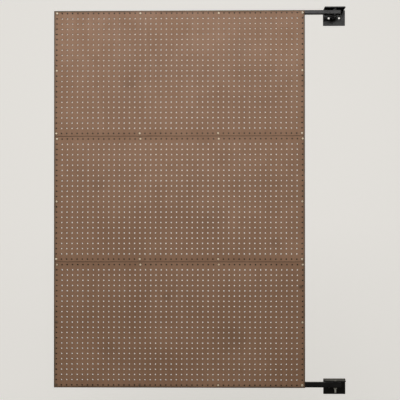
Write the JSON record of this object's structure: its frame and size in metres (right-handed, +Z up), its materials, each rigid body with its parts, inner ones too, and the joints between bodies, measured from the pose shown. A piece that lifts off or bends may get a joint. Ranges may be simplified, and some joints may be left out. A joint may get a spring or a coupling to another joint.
{
  "type": "swing-out pegboard wall panel",
  "caption": "Wide upright pegboard panel of stacked brown hardboard sheets on a black square-tube frame, hinged by two arms to steel angle wall brackets.",
  "frame": {"origin": "on the lower bracket's back face, level with its two wall holes and straight behind the pivots", "axes": "+Y into the wall, so the boards face -Y; +Z up; +X to the right as seen from the room, from the panel towards its pivots"},
  "size_m": [1.4252, 0.0842, 1.893],
  "materials": {
    "black_paint": "gloss black paint over steel",
    "hardboard": "tempered brown hardboard, smooth face and screened back",
    "cream_paint": "off-white screw heads, grimy round the rim",
    "zinc_steel": "zinc plated",
    "nylon": "natural nylon",
    "black_plastic": "moulded black"
  },
  "bodies": {
    "wall_brackets": {"upper_bracket": "black_paint", "lower_bracket": "black_paint", "upper_stud": "zinc_steel", "upper_spacer_nut": "zinc_steel", "upper_steel_washer": "zinc_steel", "upper_under_washer": "zinc_steel", "upper_lock_nut": "zinc_steel", "lower_stud": "zinc_steel", "lower_under_washer": "zinc_steel", "lower_jam_nut": "zinc_steel", "upper_thrust_washer": "nylon", "lower_thrust_washer": "nylon", "upper_lock_ring": "nylon"},
    "swing_panel": {"top_rail": "black_paint", "bottom_rail": "black_paint", "left_stile": "black_paint", "right_stile": "black_paint", "upper_seam_rail": "black_paint", "lower_seam_rail": "black_paint", "frame_welds": "black_paint", "top_rail_left_plug": "black_plastic", "top_rail_arm_plug": "black_plastic", "bottom_rail_left_plug": "black_plastic", "bottom_rail_arm_plug": "black_plastic", "board_top": "hardboard", "board_middle": "hardboard", "board_bottom": "hardboard", "board_top_screws": "cream_paint", "board_middle_screws": "cream_paint", "board_bottom_screws": "cream_paint", "upper_pivot_sleeve": "zinc_steel", "lower_pivot_sleeve": "zinc_steel"}
  },
  "joints": [
    {"name": "panel_swing", "type": "hinge", "parent": "wall_brackets", "child": "swing_panel", "pos_m": [0, -0.066, 0], "axis": [0, 0, 1], "range_deg": [0, 180]}
  ]
}
